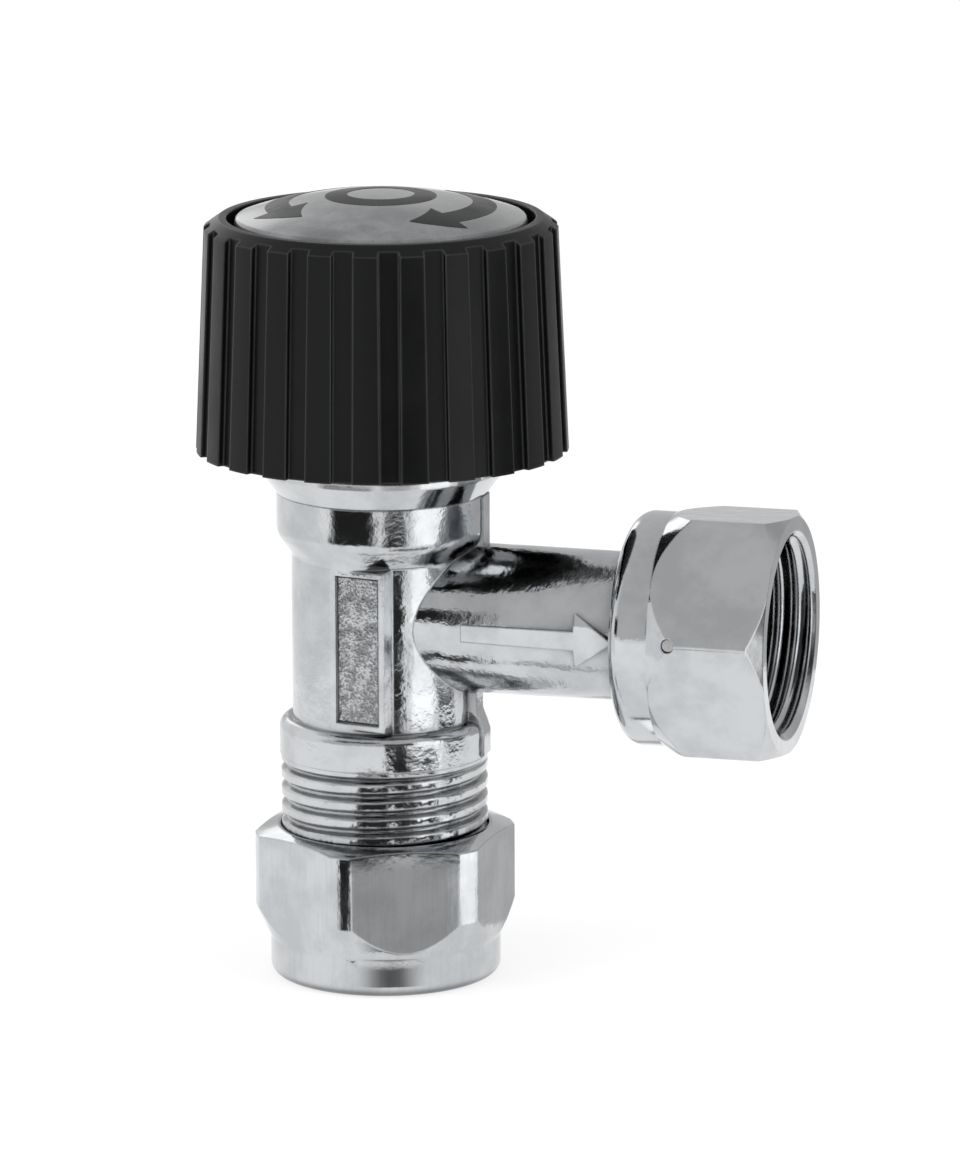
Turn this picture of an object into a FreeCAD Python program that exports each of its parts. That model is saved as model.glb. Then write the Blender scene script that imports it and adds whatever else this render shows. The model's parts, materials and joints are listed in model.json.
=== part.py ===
import FreeCAD, Part
import os
import re

import Sketcher

# Chromed angle isolating valve with a ribbed handwheel, in millimetres.
# The origin is the middle of the foot of the compression nut, where the pipe goes in.
# +Z runs up the spindle, +X runs out of the swivel nut, and the flat panel faces -Y.

SIZES = {
    # pipe, inlet thread and olive
    "pipe_diameter": 15.0,
    "pipe_clearance": 0.15,
    "pipe_depth": 12.8,
    "thread_diameter": 20.955,
    "thread_core_radius": 9.32,
    "thread_clearance": 0.12,
    "spigot_length": 15.8,
    "spigot_chamfer": 0.9,
    "olive_length": 7.4,
    "olive_wall": 1.35,
    "olive_taper_length": 2.2,
    "olive_taper_depth": 0.7,
    "olive_gap": 0.15,
    "olive_mouth_lead": 0.4,
    # compression nut
    "nut_height": 15.5,
    "nut_across_flats": 24.0,
    "nut_corner_radius": 13.2,
    "nut_foot_radius": 11.7,
    "nut_foot_height": 4.0,
    "nut_foot_round": 1.2,
    "nut_cone_height": 3.3,
    "nut_top_chamfer": 0.7,
    "nut_top_lip": 0.3,
    "nut_floor": 1.6,
    "nut_turn": 26.2,
    # body
    "waterway_radius": 5.0,
    "lower_collar_radius": 10.6,
    "lower_collar_height": 3.7,
    "lower_collar_round": 1.0,
    "column_radius": 9.27,
    "column_length": 17.1,
    "upper_collar_radius": 10.75,
    "upper_collar_height": 6.2,
    "upper_collar_shoulder": 2.0,
    "upper_collar_round": 2.2,
    "column_root_round": 1.2,
    "rib_thickness": 2.4,
    "rib_reach": 0.1,
    "rib_waist_reach": 0.8,
    "panel_width": 6.0,
    "panel_proud": 0.1,
    "panel_turn": 11.0,
    "panel_draft": 10.0,
    "panel_margin": 0.4,
    "panel_border": 0.6,
    "panel_field_depth": 0.25,
    # seat and chamber
    "seat_rise": 2.5,
    "seat_lip_height": 1.5,
    "seat_lip_width": 1.2,
    "chamber_radius": 7.0,
    # outlet tube and swivel nut
    "outlet_rise": 10.6,
    "tube_root_radius": 7.6,
    "tube_radius": 7.5,
    "tube_taper_end": 24.5,
    "outlet_bore_radius": 5.5,
    "swivel_setback": 26.2,
    "swivel_length": 16.2,
    "swivel_across_flats": 23.7,
    "swivel_corner_radius": 13.6,
    "swivel_collar_radius": 11.8,
    "swivel_collar_length": 4.2,
    "swivel_collar_round": 1.8,
    "swivel_cone_length": 3.0,
    "swivel_mouth_chamfer": 1.4,
    "swivel_lead_in": 1.1,
    "swivel_play": 0.12,
    "swivel_turn": -5.6,
    "wire_setback": 6.8,
    "wire_radius": 0.65,
    "wire_play": 0.06,
    "wire_sunk": 0.5,
    "tube_lip": 0.8,
    "outlet_washer_thickness": 1.5,
    "outlet_washer_radius": 10.0,
    "outlet_washer_bore": 5.7,
    "outlet_washer_gap": 0.15,
    "thread_relief": 0.2,
    # bonnet
    "bonnet_thread_radius": 8.6,
    "bonnet_thread_length": 4.9,
    "bonnet_fit": 0.05,
    "bonnet_reach": 8.2,
    "bonnet_tail_gap": 0.2,
    "bonnet_seal_width": 1.0,
    "bonnet_seal_thickness": 1.0,
    "flange_radius": 12.45,
    "flange_cone_height": 2.3,
    "flange_height": 3.0,
    "bonnet_across_flats": 20.0,
    "bonnet_hexagon_height": 4.0,
    "neck_radius": 6.4,
    "neck_height": 9.0,
    "gland_length": 10.0,
    "guide_across_flats": 10.4,
    "guide_play": 0.1,
    # spindle, its seals, ring and clip
    "spindle_radius": 3.5,
    "spindle_play": 0.07,
    "spindle_collar_radius": 4.6,
    "spindle_collar_height": 1.4,
    "spindle_thread_radius": 3.0,
    "spindle_thread_length": 11.5,
    "spindle_thread_play": 0.1,
    "spindle_lead": 2.0,
    "opening_turns": 3.0,
    "thrust_ring_thickness": 0.6,
    "thrust_ring_gap": 0.05,
    "seal_cord_radius": 0.6,
    "seal_stand": 0.02,
    "seal_groove_play": 0.1,
    "seal_rise": 2.6,
    "seal_spacing": 3.6,
    "clip_thickness": 0.7,
    "clip_width": 2.1,
    "clip_groove_depth": 0.6,
    "clip_play": 0.05,
    "clip_lift": 0.15,
    "drive_across_flats": 4.8,
    "drive_play": 0.06,
    "drive_clear": 0.4,
    # plug, seat washer and its screw
    "seat_gap": 0.05,
    "seat_washer_thickness": 2.4,
    "seat_washer_radius": 6.5,
    "plug_disc_radius": 6.7,
    "plug_disc_height": 1.8,
    "plug_top_gap": 0.3,
    "washer_screw_radius": 1.45,
    "washer_screw_length": 3.2,
    "washer_screw_head_radius": 2.8,
    "washer_screw_head_height": 1.3,
    "screw_hole_play": 0.05,
    "slot_width": 0.8,
    "slot_depth": 0.7,
    # handwheel and its screw
    "handle_gap": 1.25,
    "handle_height": 23.55,
    "handle_foot_radius": 18.75,
    "handle_rim_radius": 17.7,
    "handle_wall": 2.0,
    "handle_top_wall": 2.3,
    "rim_bevel_width": 1.4,
    "rim_bevel_height": 1.0,
    "rim_width": 2.2,
    "recess_depth": 2.4,
    "hub_radius": 5.6,
    "hub_gap": 0.5,
    "web_thickness": 1.2,
    "web_count": 6,
    "flute_count": 24,
    "flute_width": 2.0,
    "flute_depth": 0.65,
    "flute_flare": 0.15,
    "flute_run_out": 1.3,
    "handle_turn": 4.05,
    "drive_top_gap": 0.3,
    "handle_screw_radius": 1.5,
    "handle_screw_length": 7.0,
    "handle_screw_head_radius": 2.8,
    "handle_screw_head_height": 1.8,
    "handle_screw_sink": 0.9,
    "handle_screw_play": 0.2,
    # dome cap
    "cap_clearance": 0.85,
    "cap_edge_height": 2.4,
    "cap_rise": 2.4,
    "cap_round": 0.5,
    "cap_hollow_radius": 4.2,
    "cap_hollow_depth": 1.7,
}

# inlet, from the foot of the nut upwards
PIPE_R = "(pipe_diameter / 2 + pipe_clearance)"
THREAD_R = "(thread_diameter / 2)"
NUT_THREAD_R = f"({THREAD_R} + thread_clearance)"
OLIVE_R = f"({PIPE_R} + olive_wall)"
OLIVE_END_R = f"({OLIVE_R} - olive_taper_depth)"
OLIVE_FOOT = f"(nut_floor + {OLIVE_END_R} - {PIPE_R} + olive_gap)"
OLIVE_TOP = f"({OLIVE_FOOT} + olive_length)"
OLIVE_SHOULDER = f"({OLIVE_TOP} - olive_taper_length)"
SPIGOT_END = f"({OLIVE_SHOULDER} - olive_mouth_lead)"
PIPE_STOP = f"({SPIGOT_END} + pipe_depth)"

# body levels
LOWER_FOOT = f"({SPIGOT_END} + spigot_length)"
LOWER_TOP = f"({LOWER_FOOT} + lower_collar_height)"
UPPER_FOOT = f"({LOWER_TOP} + column_length)"
BODY_TOP = f"({UPPER_FOOT} + upper_collar_height)"
SEAT = f"({LOWER_TOP} + seat_rise)"
OUTLET = f"({LOWER_TOP} + outlet_rise)"
RIB_OUT = "(upper_collar_radius + rib_reach)"
RIB_WAIST = "(column_radius + rib_waist_reach)"

# outlet, along the tube from the axis of the column
SWIVEL_END = "(swivel_setback + swivel_length)"
WIRE = "(swivel_setback + wire_setback)"
SWIVEL_BORE = "(tube_radius + swivel_play)"
WIRE_RING = f"((tube_radius + {SWIVEL_BORE}) / 2)"
WIRE_ROOM = "(wire_radius + wire_play)"
TUBE_END = f"({WIRE} + {WIRE_ROOM} + tube_lip)"
WASHER_BACK = f"({TUBE_END} + outlet_washer_gap)"
WASHER_FRONT = f"({WASHER_BACK} + outlet_washer_thickness)"
THREAD_START = f"({WASHER_FRONT} + thread_relief)"

# bonnet levels
BONNET_END = f"({BODY_TOP} - bonnet_reach)"
BONNET_THREAD_END = f"({BODY_TOP} - bonnet_thread_length)"
FLANGE_TOP = f"({BODY_TOP} + flange_height)"
HEXAGON_TOP = f"({FLANGE_TOP} + bonnet_hexagon_height)"
NECK_TOP = f"({HEXAGON_TOP} + neck_height)"
GUIDE_TOP = f"({NECK_TOP} - gland_length)"
GLAND_R = "(spindle_radius + spindle_play)"
SEAL_POCKET_R = "(bonnet_thread_radius + bonnet_seal_width)"

# spindle levels
THRUST_TOP = f"({GUIDE_TOP} - thrust_ring_gap)"
COLLAR_TOP = f"({THRUST_TOP} - thrust_ring_thickness)"
COLLAR_FOOT = f"({COLLAR_TOP} - spindle_collar_height)"
SPINDLE_END = f"({COLLAR_FOOT} - spindle_thread_length)"
SEAL_RING = "(spindle_radius + seal_stand - seal_cord_radius)"
SEAL_FLOOR = f"({SEAL_RING} - seal_cord_radius - seal_stand)"
SEAL_ROOM = "(seal_cord_radius + seal_groove_play)"
SEAL_LOW = f"({GUIDE_TOP} + seal_rise)"
SEAL_HIGH = f"({SEAL_LOW} + seal_spacing)"
CLIP_FLOOR = "(spindle_radius - clip_groove_depth)"
CLIP_FOOT = f"({NECK_TOP} + clip_lift)"
CLIP_TOP = f"({CLIP_FOOT} + clip_thickness)"
DRIVE_FOOT = f"({CLIP_TOP} + clip_play + drive_clear)"

# handwheel levels
HANDLE_FOOT = f"({FLANGE_TOP} + handle_gap)"
RIM = f"({HANDLE_FOOT} + handle_height)"
RECESS = f"({RIM} - recess_depth)"
RECESS_R = "(handle_rim_radius - rim_width)"
CAP_R = f"({RECESS_R} - cap_clearance)"
CEILING = f"({RECESS} - handle_top_wall)"
HUB_FOOT = f"({CLIP_TOP} + hub_gap)"
SPINDLE_TOP = f"({CEILING} - drive_top_gap)"
HANDLE_SLOPE = "((handle_foot_radius - handle_rim_radius) / handle_height)"
SCREW_SEAT = f"({RECESS} - handle_screw_sink)"
SCREW_TIP = f"({SCREW_SEAT} - handle_screw_length)"
CAP_EDGE = f"({RECESS} + cap_edge_height)"
CAP_APEX = f"({CAP_EDGE} + cap_rise)"

# plug levels, valve shut
LIFT = "(spindle_lead * opening_turns)"
WASHER_FOOT = f"({SEAT} + seat_gap)"
PLUG_FOOT = f"({WASHER_FOOT} + seat_washer_thickness)"
PLUG_DISC_TOP = f"({PLUG_FOOT} + plug_disc_height)"
PLUG_TOP = f"({COLLAR_FOOT} - {LIFT} - plug_top_gap)"
PLUG_BORE_END = f"({SPINDLE_END} - {LIFT} - plug_top_gap)"
PLUG_FLATS = "(guide_across_flats - 2 * guide_play)"
WASHER_SCREW_TIP = f"({PLUG_FOOT} + washer_screw_length)"

doc = FreeCAD.newDocument("IsolatingValve")
sheet = doc.addObject("Spreadsheet::Sheet", "Sizes")
for row, (alias, size) in enumerate(SIZES.items(), start=1):
    sheet.set(f"A{row}", alias)
    sheet.set(f"B{row}", str(size))
    sheet.setAlias(f"B{row}", alias)
doc.recompute()


def sized(text):
    """Turn an expression of size names into one that the document reads from its sheet."""
    return re.sub(r"[a-z]+(?:_[a-z]+)+", lambda word: "Sizes." + word.group(0), text)


def value(text):
    """Work out an expression of size names as a number."""
    result = sheet.evalExpression(sized(text))
    return float(getattr(result, "Value", result))


def new_body(label):
    body = doc.addObject("PartDesign::Body", label)
    body.Label = label
    return body


def origin_feature(body, role):
    return next(item for item in body.Origin.OriginFeatures if item.Role == role)


def new_sketch(body, name, plane, offset=None, turn=None):
    """Start a sketch on an origin plane, moved along the normal or with its right side turned outwards."""
    sketch = body.newObject("Sketcher::SketchObject", name)
    sketch.AttachmentSupport = [(origin_feature(body, plane), "")]
    sketch.MapMode = "FlatFace"
    if turn:
        outwards = FreeCAD.Rotation(FreeCAD.Vector(0, -1, 0), value(turn))
        sketch.AttachmentOffset = FreeCAD.Placement(FreeCAD.Vector(), outwards)
        sketch.setExpression("AttachmentOffset.Rotation.Angle", sized(turn))
    if offset:
        sketch.setExpression("AttachmentOffset.Base.z", sized(offset))
    return sketch


def pin_point(sketch, geometry, end, across, along):
    """Hold one point of the sketch at two expressions, measured from the sketch's origin."""
    for kind, axis, text in (("DistanceX", -2, across), ("DistanceY", -1, along)):
        if text == "0":
            sketch.addConstraint(Sketcher.Constraint("PointOnObject", geometry, end, axis))
            continue
        rule = Sketcher.Constraint(kind, -1, 1, geometry, end, value(text))
        index = sketch.addConstraint(rule)
        sketch.setExpression(f"Constraints[{index}]", sized(text))


def draw_outline(sketch, points):
    """Draw a closed outline of straight lines through points given as pairs of expressions."""
    corners = [FreeCAD.Vector(value(across), value(along), 0) for across, along in points]
    first = sketch.GeometryCount
    for corner, following in zip(corners, corners[1:] + corners[:1]):
        sketch.addGeometry(Part.LineSegment(corner, following), False)
    for step, point in enumerate(points):
        before = first + (step - 1) % len(points)
        sketch.addConstraint(Sketcher.Constraint("Coincident", before, 2, first + step, 1))
        pin_point(sketch, first + step, 1, *point)


def draw_circle(sketch, across, along, radius):
    middle = FreeCAD.Vector(value(across), value(along), 0)
    ring = sketch.addGeometry(Part.Circle(middle, FreeCAD.Vector(0, 0, 1), value(radius)), False)
    pin_point(sketch, ring, 3, across, along)
    index = sketch.addConstraint(Sketcher.Constraint("Radius", ring, value(radius)))
    sketch.setExpression(f"Constraints[{index}]", sized(radius))


def polygon_points(across_flats, sides, first_angle):
    """Corners of a regular polygon with this distance from the middle to twice the flats."""
    corner = f"({across_flats}) / 2 / cos({180 / sides})"
    angles = [first_angle + 360 / sides * step for step in range(sides)]
    return [(f"{corner} * cos({angle})", f"{corner} * sin({angle})") for angle in angles]


def rectangle_points(left, right, low, high):
    return [(left, low), (right, low), (right, high), (left, high)]


def spin(body, name, sketch, kind, axis="V_Axis", angle=360):
    feature = body.newObject(f"PartDesign::{kind}", name)
    feature.Profile = sketch
    feature.ReferenceAxis = (sketch, [axis])
    feature.Angle = angle
    doc.recompute()
    return feature


def turned(body, name, points, kind="Revolution", angle=360):
    """Turn an outline of (radius, height) points about the body's upright axis."""
    sketch = new_sketch(body, f"{name}_outline", "XZ_Plane")
    draw_outline(sketch, points)
    return spin(body, name, sketch, kind, angle=angle)


def turned_across(body, name, points, kind="Revolution"):
    """Turn an outline of (distance, radius) points about the axis of the outlet."""
    sketch = new_sketch(body, f"{name}_outline", "XZ_Plane")
    level = value(OUTLET)
    line = Part.LineSegment(FreeCAD.Vector(0, level, 0), FreeCAD.Vector(1, level, 0))
    axis = sketch.addGeometry(line, True)
    sketch.addConstraint(Sketcher.Constraint("Horizontal", axis))
    pin_point(sketch, axis, 1, "0", OUTLET)
    draw_outline(sketch, [(distance, f"{OUTLET} + {radius}") for distance, radius in points])
    return spin(body, name, sketch, kind, axis="Axis0")


def turned_ring(body, name, ring, height, radius, angle=360):
    """Turn a round section into a ring."""
    sketch = new_sketch(body, f"{name}_outline", "XZ_Plane")
    draw_circle(sketch, ring, height, radius)
    return spin(body, name, sketch, "Revolution", angle=angle)


def push(body, name, sketch, kind, length, backwards=False, both_ways=False, taper=None):
    """Pad or pocket a sketch by a length, with its sides spreading by a taper if asked."""
    feature = body.newObject(f"PartDesign::{kind}", name)
    feature.Profile = sketch
    feature.setExpression("Length", sized(length))
    feature.Reversed = backwards
    if taper:
        feature.setExpression("TaperAngle", sized(taper))
    if both_ways:
        feature.SideType = "Symmetric"
    doc.recompute()
    return feature


def cut_flats(body, name, across_flats, sides, level, depth, clear_radius, first_angle=0):
    """Cut flats on a round stretch, from a level downwards."""
    sketch = new_sketch(body, f"{name}_outline", "XY_Plane", level)
    draw_circle(sketch, "0", "0", clear_radius)
    draw_outline(sketch, polygon_points(across_flats, sides, first_angle))
    return push(body, name, sketch, "Pocket", depth)


def drill(body, name, level, radius, depth, backwards=False):
    """Drill a round hole on the axis from a level, downwards or upwards."""
    sketch = new_sketch(body, f"{name}_outline", "XY_Plane", level)
    draw_circle(sketch, "0", "0", radius)
    return push(body, name, sketch, "Pocket", depth, backwards)


def mill_slot(body, name, level, half_length, backwards=False):
    """Mill a screwdriver slot across the axis from a level, downwards or upwards."""
    sketch = new_sketch(body, f"{name}_outline", "XY_Plane", level)
    sides = (f"-{half_length}", half_length, "-slot_width / 2", "slot_width / 2")
    draw_outline(sketch, rectangle_points(*sides))
    return push(body, name, sketch, "Pocket", "slot_depth", backwards)


def ring_edges(feature, radius, height):
    """Names of the full circles of a feature with this radius at this height."""
    found = []
    for index, edge in enumerate(feature.Shape.Edges, start=1):
        if edge.Degenerated or not isinstance(edge.Curve, Part.Circle):
            continue
        curve = edge.Curve
        if abs(curve.Radius - value(radius)) < 1e-4 and abs(curve.Center.z - value(height)) < 1e-4:
            found.append(f"Edge{index}")
    return found


def round_ring(body, name, feature, radius, height, rounding):
    fillet = body.newObject("PartDesign::Fillet", name)
    fillet.Base = (feature, ring_edges(feature, radius, height))
    fillet.setExpression("Radius", sized(rounding))
    doc.recompute()
    return fillet


def repeat_round(body, name, feature, count):
    """Repeat a feature all the way round the body's upright axis."""
    pattern = body.newObject("PartDesign::PolarPattern", name)
    pattern.Originals = [feature]
    pattern.Axis = (origin_feature(body, "Z_Axis"), [""])
    pattern.Angle = 360
    pattern.setExpression("Occurrences", sized(count))
    body.Tip = pattern
    doc.recompute()
    return pattern


def lay_on_outlet(body):
    """Lay a body made about Z on the axis of the outlet, turned as the swivel nut is."""
    along = FreeCAD.Rotation(FreeCAD.Vector(0, 1, 0), 90)
    twist = FreeCAD.Rotation(FreeCAD.Vector(0, 0, 1), value("swivel_turn"))
    body.Placement = FreeCAD.Placement(FreeCAD.Vector(0, 0, value(OUTLET)), along.multiply(twist))
    body.setExpression("Placement.Base.z", sized(OUTLET))


def turn_about_spindle(body, angle):
    upright = FreeCAD.Vector(0, 0, 1)
    body.Placement = FreeCAD.Placement(FreeCAD.Vector(), FreeCAD.Rotation(upright, value(angle)))


def make_valve_body():
    body = new_body("valve_body")
    column = turned(body, "column", [
        ("0", SPIGOT_END),
        (f"{THREAD_R} - spigot_chamfer", SPIGOT_END),
        (THREAD_R, f"{SPIGOT_END} + spigot_chamfer"),
        (THREAD_R, LOWER_FOOT),
        ("lower_collar_radius", LOWER_FOOT),
        ("lower_collar_radius", LOWER_TOP),
        ("column_radius", LOWER_TOP),
        ("column_radius", UPPER_FOOT),
        ("upper_collar_radius", f"{UPPER_FOOT} + upper_collar_shoulder"),
        ("upper_collar_radius", BODY_TOP),
        ("0", BODY_TOP),
    ])
    shoulder = f"{UPPER_FOOT} + upper_collar_shoulder"
    column = round_ring(body, "lower_collar_edge", column, "lower_collar_radius", LOWER_TOP,
                        "lower_collar_round")
    column = round_ring(body, "upper_collar_edge", column, "upper_collar_radius", shoulder,
                        "upper_collar_round")
    round_ring(body, "column_root", column, "column_radius", UPPER_FOOT, "column_root_round")
    turned_across(body, "outlet_tube", [
        ("0", "0"),
        (TUBE_END, "0"),
        (TUBE_END, "tube_radius"),
        (f"{WIRE} + {WIRE_ROOM}", "tube_radius"),
        (f"{WIRE} + {WIRE_ROOM}", f"{WIRE_RING} - {WIRE_ROOM}"),
        (f"{WIRE} - {WIRE_ROOM}", f"{WIRE_RING} - {WIRE_ROOM}"),
        (f"{WIRE} - {WIRE_ROOM}", "tube_radius"),
        ("tube_taper_end", "tube_radius"),
        ("0", "tube_root_radius"),
    ])
    # the rib along the parting line on the outlet side, set back between the collars
    rib = new_sketch(body, "rib_outline", "XZ_Plane")
    draw_outline(rib, [
        ("0", f"{LOWER_FOOT} + rib_reach"),
        ("lower_collar_radius", f"{LOWER_FOOT} + rib_reach"),
        (RIB_OUT, f"{LOWER_FOOT} + 3 * rib_reach"),
        (RIB_OUT, f"{LOWER_TOP} - lower_collar_round"),
        (RIB_WAIST, f"{LOWER_TOP} + lower_collar_round + rib_reach"),
        (RIB_WAIST, OUTLET),
        (RIB_OUT, OUTLET),
        (RIB_OUT, f"{BODY_TOP} - rib_reach"),
        ("upper_collar_radius", BODY_TOP),
        ("0", BODY_TOP),
    ])
    push(body, "rib", rib, "Pad", "rib_thickness", both_ways=True)
    # the flat panel on the front of the column, its left side run into it, and the shallow field in it
    panel_face = "column_radius + panel_proud"
    panel_low = f"({LOWER_TOP} + panel_margin)"
    panel_high = f"({UPPER_FOOT} - panel_margin)"
    half = "panel_width / 2"
    panel = new_sketch(body, "panel_outline", "XZ_Plane", panel_face, "panel_turn")
    draw_outline(panel, rectangle_points(f"-{half}", half, panel_low, panel_high))
    push(body, "panel", panel, "Pad", "column_radius - chamber_radius", backwards=True, taper="panel_draft")
    inner = "(panel_width / 2 - panel_border)"
    field = new_sketch(body, "field_outline", "XZ_Plane", panel_face, "panel_turn")
    draw_outline(field, rectangle_points(f"-{inner}", inner, f"{panel_low} + panel_border",
                                         f"{panel_high} - panel_border"))
    push(body, "field", field, "Pocket", "2 * panel_field_depth", both_ways=True)
    turned(body, "waterway", [
        ("0", SPIGOT_END),
        (f"{OLIVE_R} + olive_gap", SPIGOT_END),
        (f"{OLIVE_R} + olive_gap", OLIVE_SHOULDER),
        (f"{OLIVE_END_R} + olive_gap", f"{OLIVE_TOP} + olive_gap"),
        (PIPE_R, f"{OLIVE_TOP} + olive_gap"),
        (PIPE_R, PIPE_STOP),
        ("waterway_radius", PIPE_STOP),
        ("waterway_radius", SEAT),
        ("waterway_radius + seat_lip_width", SEAT),
        ("waterway_radius + seat_lip_width", f"{SEAT} - seat_lip_height"),
        ("chamber_radius", f"{SEAT} - seat_lip_height"),
        ("chamber_radius", BONNET_THREAD_END),
        ("bonnet_thread_radius", BONNET_THREAD_END),
        ("bonnet_thread_radius", f"{BODY_TOP} - bonnet_seal_thickness"),
        (SEAL_POCKET_R, f"{BODY_TOP} - bonnet_seal_thickness"),
        (SEAL_POCKET_R, BODY_TOP),
        ("0", BODY_TOP),
    ], "Groove")
    turned_across(body, "outlet_bore", [
        ("0", "0"),
        (TUBE_END, "0"),
        (TUBE_END, "outlet_bore_radius"),
        ("0", "outlet_bore_radius"),
    ], "Groove")
    return body


def make_bonnet():
    body = new_body("bonnet")
    hexagon_corner = "bonnet_across_flats / 2 / cos(30)"
    turned(body, "headwork", [
        ("0", BONNET_END),
        ("chamber_radius - bonnet_tail_gap", BONNET_END),
        ("chamber_radius - bonnet_tail_gap", BONNET_THREAD_END),
        ("bonnet_thread_radius - bonnet_fit", f"{BONNET_THREAD_END} + bonnet_fit"),
        ("bonnet_thread_radius - bonnet_fit", BODY_TOP),
        ("upper_collar_radius", BODY_TOP),
        ("flange_radius", f"{BODY_TOP} + flange_cone_height"),
        ("flange_radius", FLANGE_TOP),
        (hexagon_corner, FLANGE_TOP),
        (hexagon_corner, HEXAGON_TOP),
        ("neck_radius", HEXAGON_TOP),
        ("neck_radius", NECK_TOP),
        ("0", NECK_TOP),
    ])
    cut_flats(body, "hexagon", "bonnet_across_flats", 6, HEXAGON_TOP, "bonnet_hexagon_height",
              "flange_radius")
    drill(body, "gland", NECK_TOP, GLAND_R, f"{NECK_TOP} - {BONNET_END}")
    guide = new_sketch(body, "guide_outline", "XY_Plane", BONNET_END)
    draw_outline(guide, polygon_points("guide_across_flats", 6, 0))
    push(body, "guide", guide, "Pocket", f"{GUIDE_TOP} - {BONNET_END}", backwards=True)
    return body


def make_bonnet_seal():
    body = new_body("bonnet_seal")
    turned(body, "seal", rectangle_points("bonnet_thread_radius", f"{SEAL_POCKET_R} - bonnet_fit",
                                          f"{BODY_TOP} - bonnet_seal_thickness", BODY_TOP))
    return body


def make_spindle():
    body = new_body("spindle")
    outline = [
        ("0", SPINDLE_END),
        ("spindle_thread_radius", SPINDLE_END),
        ("spindle_thread_radius", COLLAR_FOOT),
        ("spindle_collar_radius", COLLAR_FOOT),
        ("spindle_collar_radius", COLLAR_TOP),
        ("spindle_radius", COLLAR_TOP),
    ]
    grooves = (
        (f"{SEAL_LOW} - {SEAL_ROOM}", f"{SEAL_LOW} + {SEAL_ROOM}", SEAL_FLOOR),
        (f"{SEAL_HIGH} - {SEAL_ROOM}", f"{SEAL_HIGH} + {SEAL_ROOM}", SEAL_FLOOR),
        (f"{CLIP_FOOT} - clip_play", f"{CLIP_TOP} + clip_play", CLIP_FLOOR),
    )
    for low, high, floor in grooves:
        outline += [("spindle_radius", low), (floor, low), (floor, high), ("spindle_radius", high)]
    outline += [("spindle_radius", SPINDLE_TOP), ("0", SPINDLE_TOP)]
    turned(body, "shaft", outline)
    cut_flats(body, "drive", "drive_across_flats", 4, SPINDLE_TOP, f"{SPINDLE_TOP} - {DRIVE_FOOT}",
              "spindle_collar_radius", 45)
    drill(body, "screw_hole", SPINDLE_TOP, "handle_screw_radius + screw_hole_play",
          f"{SPINDLE_TOP} - {SCREW_TIP} + drive_top_gap")
    turn_about_spindle(body, "handle_turn")
    return body


def make_spindle_seal(label, level):
    body = new_body(label)
    turned_ring(body, "cord", SEAL_RING, level, "seal_cord_radius")
    return body


def make_thrust_ring():
    body = new_body("thrust_ring")
    turned(body, "ring", rectangle_points("spindle_radius + clip_play", "spindle_collar_radius",
                                          COLLAR_TOP, THRUST_TOP))
    return body


def make_spindle_clip():
    body = new_body("spindle_clip")
    turned(body, "open_ring", rectangle_points(f"{CLIP_FLOOR} + clip_play", f"{CLIP_FLOOR} + clip_width",
                                               CLIP_FOOT, CLIP_TOP), angle=300)
    return body


def make_valve_plug():
    body = new_body("valve_plug")
    turned(body, "disc", rectangle_points("0", "plug_disc_radius", PLUG_FOOT, PLUG_DISC_TOP))
    hexagon = new_sketch(body, "hexagon_outline", "XY_Plane", PLUG_DISC_TOP)
    draw_outline(hexagon, polygon_points(PLUG_FLATS, 6, 0))
    push(body, "hexagon", hexagon, "Pad", f"{PLUG_TOP} - {PLUG_DISC_TOP}")
    drill(body, "spindle_thread", PLUG_TOP, "spindle_thread_radius + spindle_thread_play",
          f"{PLUG_TOP} - {PLUG_BORE_END}")
    drill(body, "screw_hole", PLUG_FOOT, "washer_screw_radius + screw_hole_play",
          f"{WASHER_SCREW_TIP} - {PLUG_FOOT} + plug_top_gap", backwards=True)
    return body


def make_seat_washer():
    body = new_body("seat_washer")
    turned(body, "washer", rectangle_points("washer_screw_radius + screw_hole_play", "seat_washer_radius",
                                            WASHER_FOOT, PLUG_FOOT))
    return body


def make_washer_screw():
    body = new_body("washer_screw")
    head_foot = f"({WASHER_FOOT} - washer_screw_head_height)"
    turned(body, "screw", [
        ("0", head_foot),
        ("washer_screw_head_radius", head_foot),
        ("washer_screw_head_radius", WASHER_FOOT),
        ("washer_screw_radius", WASHER_FOOT),
        ("washer_screw_radius", WASHER_SCREW_TIP),
        ("0", WASHER_SCREW_TIP),
    ])
    mill_slot(body, "slot", head_foot, "washer_screw_head_radius", backwards=True)
    return body


def flute_section(radius):
    """Section of one flute at a level where the handwheel has this radius."""
    floor = f"{radius} - flute_depth"
    mouth = f"{radius} + flute_depth"
    half = "flute_width / 2"
    return [
        (floor, f"-{half}"),
        (mouth, f"-{half} - flute_flare"),
        (mouth, f"{half} + flute_flare"),
        (floor, half),
    ]


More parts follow.
